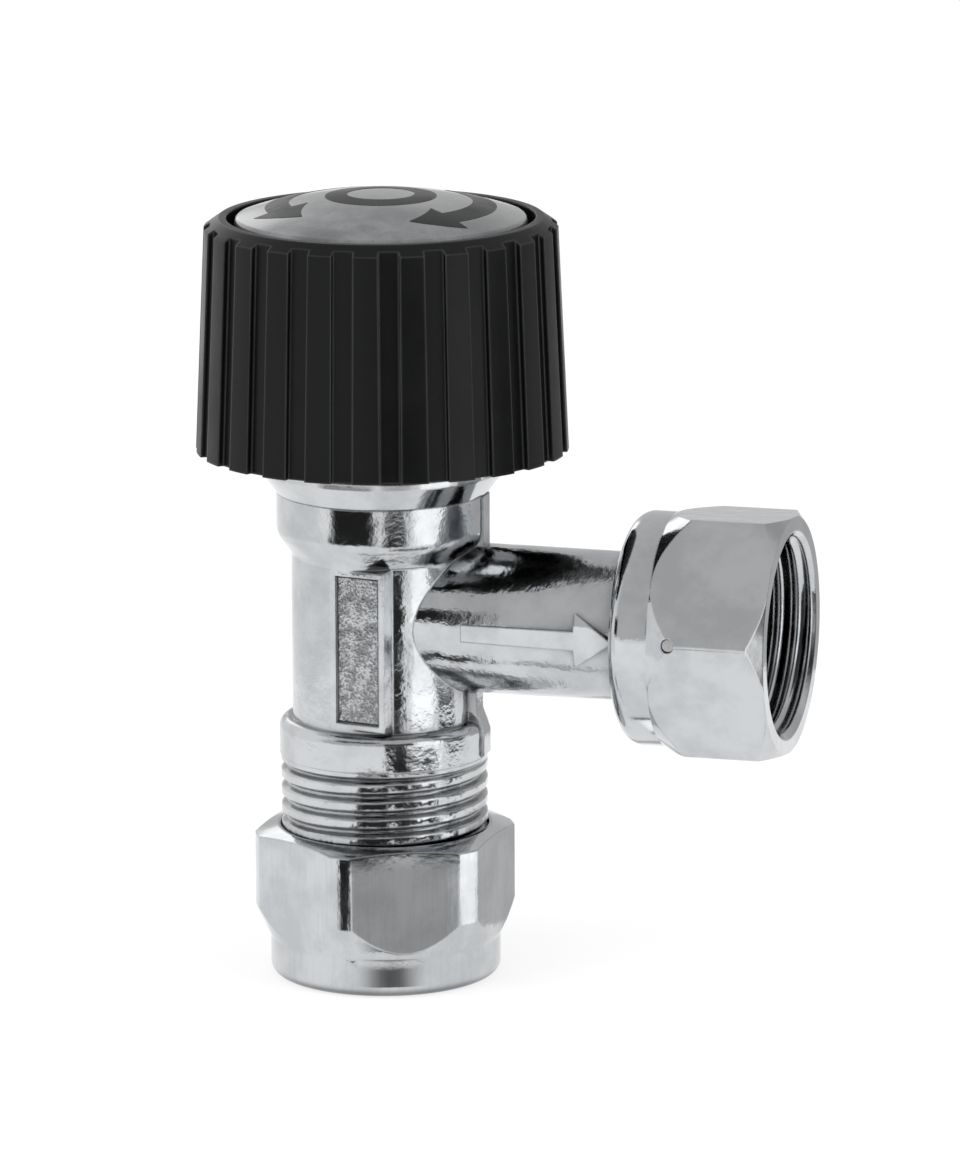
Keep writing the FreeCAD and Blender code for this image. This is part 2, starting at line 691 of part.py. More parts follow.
def make_handwheel():
    body = new_body("handwheel")
    inner_rim = f"handle_rim_radius - handle_wall + {HANDLE_SLOPE} * ({RIM} - {CEILING})"
    turned(body, "shell", [
        ("0", HUB_FOOT),
        ("hub_radius", HUB_FOOT),
        ("hub_radius", CEILING),
        (inner_rim, CEILING),
        ("handle_foot_radius - handle_wall", HANDLE_FOOT),
        ("handle_foot_radius", HANDLE_FOOT),
        (f"handle_rim_radius + {HANDLE_SLOPE} * rim_bevel_height", f"{RIM} - rim_bevel_height"),
        ("handle_rim_radius - rim_bevel_width", RIM),
        (RECESS_R, RIM),
        (RECESS_R, RECESS),
        ("0", RECESS),
    ])
    web = new_sketch(body, "web_outline", "XY_Plane", HUB_FOOT)
    half = "web_thickness / 2"
    draw_outline(web, rectangle_points("hub_radius - web_thickness", "handle_rim_radius - handle_wall / 2",
                                       f"-{half}", half))
    web_pad = push(body, "web", web, "Pad", f"{CEILING} - {HUB_FOOT} + handle_top_wall / 2")
    repeat_round(body, "webs", web_pad, "web_count")
    # the flutes run out through the foot and through the bevel of the rim
    low = new_sketch(body, "flute_foot_outline", "XY_Plane", f"{HANDLE_FOOT} - flute_run_out")
    draw_outline(low, flute_section(f"handle_foot_radius + {HANDLE_SLOPE} * flute_run_out"))
    high = new_sketch(body, "flute_top_outline", "XY_Plane", f"{RIM} + flute_run_out")
    draw_outline(high, flute_section(f"handle_rim_radius - {HANDLE_SLOPE} * flute_run_out"))
    flute = body.newObject("PartDesign::SubtractiveLoft", "flute")
    flute.Profile = low
    flute.Sections = [high]
    flute.Ruled = True
    doc.recompute()
    repeat_round(body, "flutes", flute, "flute_count")
    socket = new_sketch(body, "socket_outline", "XY_Plane", HUB_FOOT)
    draw_outline(socket, polygon_points("drive_across_flats + 2 * drive_play", 4, 45))
    push(body, "socket", socket, "Pocket", f"{CEILING} - {HUB_FOOT}", backwards=True)
    drill(body, "screw_way", RECESS, "handle_screw_radius + handle_screw_play", "handle_top_wall")
    drill(body, "screw_sink", RECESS, "handle_screw_head_radius + handle_screw_play", "handle_screw_sink")
    turn_about_spindle(body, "handle_turn")
    return body


def make_handwheel_screw():
    body = new_body("handwheel_screw")
    head_top = f"({SCREW_SEAT} + handle_screw_head_height)"
    turned(body, "screw", [
        ("0", SCREW_TIP),
        ("handle_screw_radius", SCREW_TIP),
        ("handle_screw_radius", SCREW_SEAT),
        ("handle_screw_head_radius", SCREW_SEAT),
        ("handle_screw_head_radius", head_top),
        ("0", head_top),
    ])
    mill_slot(body, "slot", head_top, "handle_screw_head_radius")
    return body


def make_dome_cap():
    body = new_body("dome_cap")
    sketch = new_sketch(body, "dome_outline", "XZ_Plane")
    foot = FreeCAD.Vector(0, value(RECESS), 0)
    foot_edge = FreeCAD.Vector(value(CAP_R), value(RECESS), 0)
    edge = FreeCAD.Vector(value(CAP_R), value(CAP_EDGE), 0)
    apex = FreeCAD.Vector(0, value(CAP_APEX), 0)
    crown = (value(CAP_R) ** 2 + value("cap_rise") ** 2) / (2 * value("cap_rise"))
    middle = FreeCAD.Vector(0, value(CAP_APEX) - crown, 0)
    circle = Part.Circle(middle, FreeCAD.Vector(0, 0, 1), crown)
    arc = Part.ArcOfCircle(circle, circle.parameter(edge), circle.parameter(apex))
    for geometry in (Part.LineSegment(foot, foot_edge), Part.LineSegment(foot_edge, edge), arc,
                     Part.LineSegment(apex, foot)):
        sketch.addGeometry(geometry, False)
    for before, after in ((0, 1), (1, 2), (2, 3), (3, 0)):
        sketch.addConstraint(Sketcher.Constraint("Coincident", before, 2, after, 1))
    sketch.addConstraint(Sketcher.Constraint("PointOnObject", 2, 3, -2))
    pin_point(sketch, 0, 1, "0", RECESS)
    pin_point(sketch, 1, 1, CAP_R, RECESS)
    pin_point(sketch, 2, 1, CAP_R, CAP_EDGE)
    pin_point(sketch, 3, 1, "0", CAP_APEX)
    dome = spin(body, "dome", sketch, "Revolution")
    round_ring(body, "dome_edge", dome, CAP_R, CAP_EDGE, "cap_round")
    drill(body, "screw_room", RECESS, "cap_hollow_radius", "cap_hollow_depth", backwards=True)
    return body


def make_compression_nut():
    body = new_body("compression_nut")
    cone_top = "nut_foot_height + nut_cone_height"
    blank = turned(body, "blank", [
        ("0", "0"),
        ("nut_foot_radius", "0"),
        ("nut_foot_radius", "nut_foot_height"),
        ("nut_corner_radius", cone_top),
        ("nut_corner_radius", "nut_height - nut_top_chamfer"),
        (f"{NUT_THREAD_R} + nut_top_lip", "nut_height"),
        ("0", "nut_height"),
    ])
    round_ring(body, "foot_edge", blank, "nut_foot_radius", "0", "nut_foot_round")
    cut_flats(body, "flats", "nut_across_flats", 6, "nut_height", "nut_height",
              "nut_corner_radius + nut_top_chamfer")
    turned(body, "bore", [
        ("0", "0"),
        (PIPE_R, "0"),
        (PIPE_R, "nut_floor"),
        (NUT_THREAD_R, f"nut_floor + {NUT_THREAD_R} - {PIPE_R}"),
        (NUT_THREAD_R, "nut_height"),
        ("0", "nut_height"),
    ], "Groove")
    turn_about_spindle(body, "nut_turn")
    return body


def make_olive():
    body = new_body("olive")
    turned(body, "ring", [
        (PIPE_R, OLIVE_FOOT),
        (OLIVE_END_R, OLIVE_FOOT),
        (OLIVE_R, f"{OLIVE_FOOT} + olive_taper_length"),
        (OLIVE_R, OLIVE_SHOULDER),
        (OLIVE_END_R, OLIVE_TOP),
        (PIPE_R, OLIVE_TOP),
    ])
    return body


def make_swivel_nut():
    body = new_body("swivel_nut")
    cone_start = "swivel_setback + swivel_collar_length"
    blank = turned(body, "blank", [
        ("0", "swivel_setback"),
        ("swivel_collar_radius", "swivel_setback"),
        ("swivel_collar_radius", cone_start),
        ("swivel_corner_radius", f"{cone_start} + swivel_cone_length"),
        ("swivel_corner_radius", f"{SWIVEL_END} - swivel_mouth_chamfer"),
        ("swivel_across_flats / 2", SWIVEL_END),
        ("0", SWIVEL_END),
    ])
    round_ring(body, "collar_edge", blank, "swivel_collar_radius", "swivel_setback", "swivel_collar_round")
    cut_flats(body, "flats", "swivel_across_flats", 6, SWIVEL_END, "swivel_length",
              "swivel_corner_radius + swivel_mouth_chamfer", 30)
    turned(body, "bore", [
        ("0", "swivel_setback"),
        (SWIVEL_BORE, "swivel_setback"),
        (SWIVEL_BORE, f"{WIRE} - {WIRE_ROOM}"),
        (f"{WIRE_RING} + {WIRE_ROOM}", f"{WIRE} - {WIRE_ROOM}"),
        (f"{WIRE_RING} + {WIRE_ROOM}", f"{WIRE} + {WIRE_ROOM}"),
        (SWIVEL_BORE, f"{WIRE} + {WIRE_ROOM}"),
        (SWIVEL_BORE, WASHER_BACK),
        (NUT_THREAD_R, WASHER_BACK),
        (NUT_THREAD_R, THREAD_START),
        ("thread_core_radius", THREAD_START),
        ("thread_core_radius", f"{SWIVEL_END} - swivel_lead_in"),
        ("thread_core_radius + swivel_lead_in", SWIVEL_END),
        ("0", SWIVEL_END),
    ], "Groove")
    hole = new_sketch(body, "wire_hole_outline", "XZ_Plane", WIRE_RING)
    draw_circle(hole, "0", WIRE, WIRE_ROOM)
    push(body, "wire_hole", hole, "Pocket", f"swivel_corner_radius - {WIRE_RING}", backwards=True)
    lay_on_outlet(body)
    return body


def make_retaining_wire():
    body = new_body("retaining_wire")
    turned_ring(body, "ring", WIRE_RING, WIRE, "wire_radius", angle=330)
    end = new_sketch(body, "end_outline", "XZ_Plane", WIRE_RING)
    draw_circle(end, "0", WIRE, "wire_radius")
    cone_reach = "(wire_setback - swivel_collar_length) / swivel_cone_length"
    surface = f"(swivel_collar_radius + (swivel_corner_radius - swivel_collar_radius) * {cone_reach})"
    push(body, "end", end, "Pad", f"{surface} - wire_sunk - {WIRE_RING}")
    lay_on_outlet(body)
    return body


def make_outlet_washer():
    body = new_body("outlet_washer")
    turned(body, "washer", rectangle_points("outlet_washer_bore", "outlet_washer_radius",
                                            WASHER_BACK, WASHER_FRONT))
    lay_on_outlet(body)
    return body


bodies = [
    make_valve_body(),
    make_bonnet(),
    make_bonnet_seal(),
    make_spindle(),
    make_spindle_seal("spindle_seal_lower", SEAL_LOW),
    make_spindle_seal("spindle_seal_upper", SEAL_HIGH),
    make_thrust_ring(),
    make_spindle_clip(),
    make_valve_plug(),
    make_seat_washer(),
    make_washer_screw(),
    make_handwheel(),
    make_handwheel_screw(),
    make_dome_cap(),
    make_compression_nut(),
    make_olive(),
    make_swivel_nut(),
    make_retaining_wire(),
    make_outlet_washer(),
]
doc.recompute()

for item in doc.Objects:
    if "Invalid" in item.State or "Error" in item.State:
        raise RuntimeError(f"{item.Name} did not recompute: {item.State}")

os.makedirs("parts", exist_ok=True)
for body in bodies:
    shape = body.Shape
    if shape.isNull() or not shape.isValid() or len(shape.Solids) != 1:
        raise RuntimeError(f"{body.Label} is not one sound solid")
    shape.exportStep(f"parts/{body.Label}.step")
    print(body.Label, round(shape.Volume, 1), shape.BoundBox)
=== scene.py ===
import json
import math

import bmesh
import bpy
import numpy as np
from mathutils import Matrix, Vector


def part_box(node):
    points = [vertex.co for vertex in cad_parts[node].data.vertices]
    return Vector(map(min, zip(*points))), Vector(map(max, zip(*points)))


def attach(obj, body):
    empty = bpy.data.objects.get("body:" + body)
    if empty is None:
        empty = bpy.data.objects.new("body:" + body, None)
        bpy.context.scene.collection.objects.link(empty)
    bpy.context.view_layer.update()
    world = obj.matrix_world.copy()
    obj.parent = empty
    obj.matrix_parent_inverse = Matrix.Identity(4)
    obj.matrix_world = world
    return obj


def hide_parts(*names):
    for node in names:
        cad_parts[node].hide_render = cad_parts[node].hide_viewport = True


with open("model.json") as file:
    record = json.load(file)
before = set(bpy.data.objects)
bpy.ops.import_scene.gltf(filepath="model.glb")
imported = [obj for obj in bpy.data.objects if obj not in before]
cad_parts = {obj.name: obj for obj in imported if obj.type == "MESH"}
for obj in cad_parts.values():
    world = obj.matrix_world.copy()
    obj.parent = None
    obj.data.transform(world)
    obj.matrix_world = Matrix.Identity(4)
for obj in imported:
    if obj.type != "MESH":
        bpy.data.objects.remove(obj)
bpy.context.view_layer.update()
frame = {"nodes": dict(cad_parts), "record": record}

MM = 0.001

# the valve's own levels and radii, in millimetres
OUTLET_LEVEL = 37.3
THREAD_PITCH = 1.814
THREAD_CREST = 10.4775
THREAD_ROOT = 9.32
SPIGOT_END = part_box("valve_body")[0].z / MM
SPIGOT_SHOULDER = 23.0
WASHER_TO_THREAD = 0.2
SWIVEL_THREAD_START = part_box("outlet_washer")[1].x / MM + WASHER_TO_THREAD
SWIVEL_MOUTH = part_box("swivel_nut")[1].x / MM
TUBE_ROOT_RADIUS = 7.6
TUBE_RADIUS = 7.5
TUBE_TAPER_END = 24.5
PANEL_FACE = 9.37
PANEL_TURN = math.radians(11.0)
FIELD_HALF_WIDTH = 2.4
FIELD_LOW = 27.7
FIELD_HIGH = 42.8
DOME_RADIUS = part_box("dome_cap")[1].x / MM
DOME_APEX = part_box("dome_cap")[1].z / MM
DOME_RISE = 2.4


# building meshes

def new_piece(name, mesh):
    piece = bpy.data.objects.new(name, mesh)
    bpy.context.scene.collection.objects.link(piece)
    return piece


def copy_of_node(node, name):
    """Copy a node's mesh as a new piece, with the points that its faces share joined again."""
    mesh = bpy.data.meshes.new(name)
    form = bmesh.new()
    form.from_mesh(frame["nodes"][node].data)
    bmesh.ops.remove_doubles(form, verts=form.verts, dist=1e-7)
    bmesh.ops.dissolve_degenerate(form, edges=form.edges, dist=1e-8)
    form.to_mesh(mesh)
    form.free()
    if "custom_normal" in mesh.attributes:
        mesh.attributes.remove(mesh.attributes["custom_normal"])
    return new_piece(name, mesh)


def loft(name, loops, closed):
    """Join loops of points into a skin, round to the first loop again or with capped ends."""
    count = len(loops[0])
    points = [point for loop in loops for point in loop]
    faces = []
    steps = len(loops) if closed else len(loops) - 1
    for row in range(steps):
        near = row * count
        far = (row + 1) % len(loops) * count
        for step in range(count):
            following = (step + 1) % count
            faces.append((near + step, near + following, far + following, far + step))
    if not closed:
        last = (len(loops) - 1) * count
        faces.append(tuple(reversed(range(count))))
        faces.append(tuple(range(last, last + count)))
    mesh = bpy.data.meshes.new(name)
    mesh.from_pydata(points, [], faces)
    form = bmesh.new()
    form.from_mesh(mesh)
    bmesh.ops.recalc_face_normals(form, faces=form.faces)
    form.to_mesh(mesh)
    form.free()
    return new_piece(name, mesh)


def cut_away(piece, tool):
    """Take a tool's shape out of a piece, and the tool out of the scene."""
    change = piece.modifiers.new("cut", "BOOLEAN")
    change.object = tool
    change.operation = "DIFFERENCE"
    change.solver = "EXACT"
    bpy.context.view_layer.update()
    graph = bpy.context.evaluated_depsgraph_get()
    mesh = bpy.data.meshes.new_from_object(piece.evaluated_get(graph))
    piece.modifiers.clear()
    piece.data = mesh
    bpy.data.objects.remove(tool)


FORM_CREASE = 28.0
RELIEF_CREASE = 30.0


def smooth_faces(piece, crease):
    """Shade smoothly up to a crease angle in degrees, with wide faces kept flat."""
    piece.data.shade_smooth()
    piece.data.set_sharp_from_angle(angle=math.radians(crease))
    even = piece.modifiers.new("even_normals", "WEIGHTED_NORMAL")
    even.keep_sharp = True
    even.weight = 100


# threads, in millimetres, shallower than the standard form as on the plated valve

THREAD_STEPS = 96
THREAD_ROWS_PER_PITCH = 20

INLET_THREAD_DEPTH = 0.6
INLET_THREAD_SHARES = (0.1, 0.62)
INLET_RUN_OUT = (0.9, 0.25)
INLET_DIE_RADIUS = 12.5
INLET_DIE_CLEARANCE = 0.04
INLET_DIE_BELOW = 0.3
INLET_DIE_GAP = 0.06

SWIVEL_THREAD_DEPTH = 1.0
SWIVEL_THREAD_SHARES = (0.0, 1.0)
SWIVEL_RUN_OUT = (0.9, 0.3)
SWIVEL_TAP_CLEARANCE = 0.03
SWIVEL_TAP_BEHIND = 0.15
SWIVEL_TAP_BEYOND = 0.2


def fade(value, start, end):
    """Run smoothly from 0 at the start to 1 at the end."""
    part = np.clip((value - start) / (end - start), 0, 1)
    return part * part * (3 - 2 * part)


def thread_height(turns, root, crest):
    """Height of a rounded thread after so many turns: 0 up to the root share, 1 past the crest share."""
    return fade(np.abs(2 * (turns % 1) - 1), root, crest)


def angles_round(steps):
    return np.arange(steps) * 2 * math.pi / steps


def thread_rows(low, high, radius_at):
    """Loops of points along a thread from low to high, with the radius given for each level and turn."""
    count = int((high - low) / THREAD_PITCH * THREAD_ROWS_PER_PITCH) + 1
    angles = angles_round(THREAD_STEPS)
    rows = []
    for level in np.linspace(low, high, count):
        turns = level / THREAD_PITCH - angles / (2 * math.pi)
        radius = radius_at(level, turns)
        rows.append([(r * math.cos(a), r * math.sin(a), level) for r, a in zip(radius, angles)])
    return rows


def plain_loop(radius, level):
    return [(radius * math.cos(a), radius * math.sin(a), level) for a in angles_round(THREAD_STEPS)]


def in_metres(loops, place=Matrix.Identity(4)):
    return [[place @ (Vector(point) * MM) for point in loop] for loop in loops]


def cut_inlet_thread(piece):
    """Cut the outside thread of the inlet spigot, running out below the collar."""
    low = SPIGOT_END - INLET_DIE_BELOW
    high = SPIGOT_SHOULDER - INLET_DIE_GAP
    clear = THREAD_CREST + INLET_DIE_CLEARANCE

    def radius_at(level, turns):
        depth = INLET_THREAD_DEPTH * (1 - thread_height(turns, *INLET_THREAD_SHARES))
        run_out = 1 - fade(level, high - INLET_RUN_OUT[0], high - INLET_RUN_OUT[1])
        return clear - (depth + INLET_DIE_CLEARANCE) * run_out

    rows = thread_rows(low, high, radius_at)
    rows += [plain_loop(INLET_DIE_RADIUS, high), plain_loop(INLET_DIE_RADIUS, low)]
    tool = loft("inlet_die", in_metres(rows), True)
    cut_away(piece, tool)


def outlet_place():
    """Lay a shape made about Z along the outlet."""
    turn = Matrix(((0, 0, 1, 0), (1, 0, 0, 0), (0, 1, 0, 0), (0, 0, 0, 1)))
    return Matrix.Translation((0, 0, OUTLET_LEVEL * MM)) @ turn


def cut_swivel_thread(piece):
    """Cut the inside thread of the swivel nut, which breaks out into its lead-in."""
    low = SWIVEL_THREAD_START - SWIVEL_TAP_BEHIND
    high = SWIVEL_MOUTH + SWIVEL_TAP_BEYOND
    clear = THREAD_ROOT - SWIVEL_TAP_CLEARANCE

    def radius_at(level, turns):
        depth = SWIVEL_THREAD_DEPTH * thread_height(turns, *SWIVEL_THREAD_SHARES)
        run_out = 1 - fade(level, high - SWIVEL_RUN_OUT[0], high - SWIVEL_RUN_OUT[1])
        return clear + (depth + SWIVEL_TAP_CLEARANCE) * run_out

    rows = thread_rows(low, high, radius_at)
    tool = loft("swivel_tap", in_metres(rows, outlet_place()), False)
    cut_away(piece, tool)


# raised flow arrow on the front of the outlet tube, in millimetres along it and round it

ARROW_TAIL = 10.2
ARROW_NECK = 22.0
ARROW_TIP = 26.0
ARROW_SHAFT_HALF = 0.9
ARROW_HEAD_HALF = 2.65
ARROW_STRIPS = 10
ARROW_RELIEF = 0.6
ARROW_RISE = (9.5, 16.5)
ARROW_SUNK = 0.3
ARROW_OUTLINE = [
    (ARROW_TAIL, -ARROW_SHAFT_HALF),
    (ARROW_NECK, -ARROW_SHAFT_HALF),
    (ARROW_NECK, -ARROW_HEAD_HALF),
    (ARROW_TIP, 0.0),
    (ARROW_NECK, ARROW_HEAD_HALF),
    (ARROW_NECK, ARROW_SHAFT_HALF),
    (ARROW_TAIL, ARROW_SHAFT_HALF),
]


def tube_radius_at(distance):
    part = min(distance / TUBE_TAPER_END, 1.0)
    return TUBE_ROOT_RADIUS + (TUBE_RADIUS - TUBE_ROOT_RADIUS) * part


def on_tube(distance, around, lift):
    """Point on the front of the tube, given along it, round it from its middle line, and off it."""
    radius = tube_radius_at(distance)
    angle = around / radius
    reach = radius + lift
    return Vector((distance, -reach * math.cos(angle), OUTLET_LEVEL + reach * math.sin(angle))) * MM


def make_flow_arrow():
    """Draw the arrow flat, cut it into strips, thicken it and wrap it round the tube."""
    form = bmesh.new()
    corners = [form.verts.new((distance, around, 0)) for distance, around in ARROW_OUTLINE]
    form.faces.new(corners)
    for step in range(1, ARROW_STRIPS):
        line = -ARROW_HEAD_HALF + 2 * ARROW_HEAD_HALF * step / ARROW_STRIPS
        parts = form.verts[:] + form.edges[:] + form.faces[:]
        bmesh.ops.bisect_plane(form, geom=parts, plane_co=(0, line, 0), plane_no=(0, 1, 0))
    grown = bmesh.ops.extrude_face_region(form, geom=form.faces[:])
    top = {item for item in grown["geom"] if isinstance(item, bmesh.types.BMVert)}
    for vert in form.verts:
        lift = ARROW_RELIEF * float(fade(vert.co.x, *ARROW_RISE)) if vert in top else -ARROW_SUNK
        vert.co = on_tube(vert.co.x, vert.co.y, lift)
    bmesh.ops.recalc_face_normals(form, faces=form.faces)
    mesh = bpy.data.meshes.new("flow_arrow")
    form.to_mesh(mesh)
    form.free()
    arrow = new_piece("flow_arrow", mesh)
    smooth_faces(arrow, RELIEF_CREASE)
    return arrow


# dark print on the dome: a ring and two curved arrows, with radii in millimetres and angles in degrees

PRINT_LIFT = 0.03
PRINT_SUNK = 0.15
PRINT_RING = (3.4, 5.6)
PRINT_SHAFT = (9.2, 11.6)
PRINT_HEAD = (7.5, 13.2)
PRINT_STEPS = 48
PRINT_COLUMNS = 6
PRINT_HEAD_PARTS = np.linspace(0.02, 0.98, 12)
PRINT_LEFT = (118.0, 212.0, 238.0)
PRINT_RIGHT = (62.0, -32.0, -58.0)


def on_dome(radius, angle, lift):
    crown = (DOME_RADIUS ** 2 + DOME_RISE ** 2) / (2 * DOME_RISE)
    level = DOME_APEX - crown + math.sqrt(crown ** 2 - radius ** 2) + lift
    return Vector((radius * math.cos(angle), radius * math.sin(angle), level)) * MM


def print_section(inner, outer, angle):
    """Section of a printed band, from its inner radius to its outer one."""
    radii = np.linspace(inner, outer, PRINT_COLUMNS)
    face = [on_dome(radius, angle, PRINT_LIFT) for radius in radii]
    return face + [on_dome(outer, angle, -PRINT_SUNK), on_dome(inner, angle, -PRINT_SUNK)]


def print_ring():
    sections = [print_section(*PRINT_RING, angle) for angle in angles_round(PRINT_STEPS)]
    return loft("dome_print_ring", sections, True)


def print_arrow(name, start, shaft_end, tip):
    """A curved arrow between two angles in degrees, with a head that tapers to its tip."""
    sections = []
    for angle in np.linspace(start, shaft_end, PRINT_STEPS):
        sections.append(print_section(*PRINT_SHAFT, math.radians(angle)))
    middle = sum(PRINT_HEAD) / 2
    for part in PRINT_HEAD_PARTS:
        half = (PRINT_HEAD[1] - PRINT_HEAD[0]) / 2 * (1 - part)
        angle = math.radians(shaft_end + (tip - shaft_end) * part)
        sections.append(print_section(middle - half, middle + half, angle))
    return loft(name, sections, False)


# node groups that several finishes share

def new_group(name, inputs, outputs):
    group = bpy.data.node_groups.new(name, "ShaderNodeTree")
    for label, kind, value in inputs:
        socket = group.interface.new_socket(label, in_out="INPUT", socket_type=kind)
        socket.default_value = value
    for label, kind in outputs:
        group.interface.new_socket(label, in_out="OUTPUT", socket_type=kind)
    start = group.nodes.new("NodeGroupInput")
    end = group.nodes.new("NodeGroupOutput")
    return group, start, end


def feed(tree, given, socket):
    """Link a socket to another one, or set it to a number or a colour."""
    if isinstance(given, bpy.types.NodeSocket):
        tree.links.new(given, socket)
    elif isinstance(given, tuple):
        socket.default_value = (*given, 1.0)
    else:
        socket.default_value = given


def noise(tree, place, scale, detail, roughness=0.55):
    node = tree.nodes.new("ShaderNodeTexNoise")
    tree.links.new(place, node.inputs["Vector"])
    feed(tree, scale, node.inputs["Scale"])
    node.inputs["Detail"].default_value = detail
    node.inputs["Roughness"].default_value = roughness
    return node.outputs["Fac"]


def math_node(tree, operation, *values):
    node = tree.nodes.new("ShaderNodeMath")
    node.operation = operation
    for socket, given in zip(node.inputs, values):
        feed(tree, given, socket)
    return node.outputs["Value"]


def spread(tree, value, from_low, from_high, to_low, to_high):
    """Map a value from one range to another, kept inside it."""
    node = tree.nodes.new("ShaderNodeMapRange")
    node.interpolation_type = "SMOOTHSTEP"
    tree.links.new(value, node.inputs["Value"])
    ends = ("From Min", "From Max", "To Min", "To Max")
    for label, given in zip(ends, (from_low, from_high, to_low, to_high)):
        feed(tree, given, node.inputs[label])
    return node.outputs["Result"]


def place_of(tree):
    return tree.nodes.new("ShaderNodeTexCoord").outputs["Object"]


GRAIN_DETAIL = 2.0
SPECK_RANGE = (0.58, 0.7)
CLOUD_DETAIL = 5.0
CLOUD_ROUGHNESS = 0.62
CLOUD_RANGE = (0.36, 0.66)
EDGE_RANGE = (0.82, 0.995)
CREASE_RANGE = (0.4, 0.9)
LOOKS_ROUND = 6


def make_grain_group():
    """Fine unevenness of a surface: a height for bump and a mask, at two sizes of grain."""
    group, start, end = new_group(
        "surface_grain",
        [("Coarse", "NodeSocketFloat", 300.0), ("Fine", "NodeSocketFloat", 2500.0),
         ("Fine Share", "NodeSocketFloat", 0.4)],
        [("Height", "NodeSocketFloat"), ("Mask", "NodeSocketFloat")],
    )
    place = place_of(group)
    coarse = noise(group, place, start.outputs["Coarse"], GRAIN_DETAIL)
    fine = noise(group, place, start.outputs["Fine"], GRAIN_DETAIL)
    fine_part = math_node(group, "MULTIPLY", fine, start.outputs["Fine Share"])
    height = math_node(group, "ADD", coarse, fine_part)
    group.links.new(height, end.inputs["Height"])
    mask = spread(group, fine, *SPECK_RANGE, 0.0, 1.0)
    group.links.new(mask, end.inputs["Mask"])
    return group


def make_haze_group():
    """Cloudy change of a value over a surface, as handling leaves it."""
    group, start, end = new_group(
        "handling_haze",
        [("Scale", "NodeSocketFloat", 90.0), ("Low", "NodeSocketFloat", 0.05),
         ("High", "NodeSocketFloat", 0.15)],
        [("Value", "NodeSocketFloat"), ("Mask", "NodeSocketFloat")],
    )
    cloud = noise(group, place_of(group), start.outputs["Scale"], CLOUD_DETAIL, CLOUD_ROUGHNESS)
    result = spread(group, cloud, *CLOUD_RANGE, start.outputs["Low"], start.outputs["High"])
    group.links.new(result, end.inputs["Value"])
    group.links.new(cloud, end.inputs["Mask"])
    return group


def make_edge_group():
    """Soft edges: a normal that rounds them off and a mask of where they are."""
    group, start, end = new_group(
        "soft_edges",
        [("Radius", "NodeSocketFloat", 0.0003)],
        [("Normal", "NodeSocketVector"), ("Edge", "NodeSocketFloat")],
    )
    bevel = group.nodes.new("ShaderNodeBevel")
    bevel.samples = LOOKS_ROUND
    group.links.new(start.outputs["Radius"], bevel.inputs["Radius"])
    flat = group.nodes.new("ShaderNodeNewGeometry")
    match = group.nodes.new("ShaderNodeVectorMath")
    match.operation = "DOT_PRODUCT"
    group.links.new(bevel.outputs["Normal"], match.inputs[0])
    group.links.new(flat.outputs["Normal"], match.inputs[1])
    edge = spread(group, match.outputs["Value"], *EDGE_RANGE, 1.0, 0.0)
    group.links.new(bevel.outputs["Normal"], end.inputs["Normal"])
    group.links.new(edge, end.inputs["Edge"])
    return group


def make_crease_shade_group():
    """Where painted shade goes: a mask of creases and of narrow gaps between pieces."""
    group, start, end = new_group(
        "creases",
        [("Distance", "NodeSocketFloat", 0.0015)],
        [("Mask", "NodeSocketFloat")],
    )
    shade = group.nodes.new("ShaderNodeAmbientOcclusion")
    shade.samples = LOOKS_ROUND
    group.links.new(start.outputs["Distance"], shade.inputs["Distance"])
    mask = spread(group, shade.outputs["AO"], *CREASE_RANGE, 1.0, 0.0)
    group.links.new(mask, end.inputs["Mask"])
    return group


GRAIN = make_grain_group()
HAZE = make_haze_group()
EDGES = make_edge_group()
CREASE_SHADE_GROUP = make_crease_shade_group()


# finishes

def new_finish(name):
    finish = bpy.data.materials.new(name)
    finish.use_nodes = True
    tree = finish.node_tree
    shader = tree.nodes["Principled BSDF"]
    return finish, tree, shader


def use_group(tree, group, **values):
    node = tree.nodes.new("ShaderNodeGroup")
    node.node_tree = group
    for label, value in values.items():
        node.inputs[label.replace("_", " ")].default_value = value
    return node


def mix_colours(tree, factor, first, second):
    node = tree.nodes.new("ShaderNodeMix")
    node.data_type = "RGBA"
    tree.links.new(factor, node.inputs["Factor"])
    feed(tree, first, node.inputs[6])
    feed(tree, second, node.inputs[7])
    return node.outputs[2]


def add_bump(tree, shader, height, distance, strength=1.0, normal=None):
    bump = tree.nodes.new("ShaderNodeBump")
    bump.inputs["Strength"].default_value = strength
    bump.inputs["Distance"].default_value = distance
    tree.links.new(height, bump.inputs["Height"])
    if normal is not None:
        tree.links.new(normal, bump.inputs["Normal"])
    tree.links.new(bump.outputs["Normal"], shader.inputs["Normal"])


CHROME_CLOUD = 160.0
CHROME_EDGE = 0.00028
CHROME_FINE_SHARE = 0.18
FINE_TO_COARSE = 7
# share of painted shade in creases and gaps
CREASE_SHADE_SHARE = 0.7
STROKE_SCALE = 2600.0
STROKE_DETAIL = 3.0
STROKE_ROUGHNESS = 0.6
STROKE_STRETCH = (1.0, 1.0, 0.05)
STROKE_RANGE = (0.45, 0.7)
STROKE_WEAR = 0.16
STROKE_HEIGHT = 0.16
STIPPLE_HEIGHT = 3.0
HOLLOW_RANGE = (0.7, 1.0)
HOLLOW_SHADE = (0.9, 0.1)
FIELD_SOFT_EDGE = 0.25
FIELD_REACH = 0.6
CHROME_LIGHT = (0.60, 0.615, 0.63)
CHROME_DEEP = (0.50, 0.515, 0.53)
CHROME_WORN = (0.36, 0.37, 0.38)
CHROME_SHADED = (0.22, 0.225, 0.23)
# colour of the painted shade in creases and gaps
CHROME_CREASE_SHADE = (0.05, 0.052, 0.054)


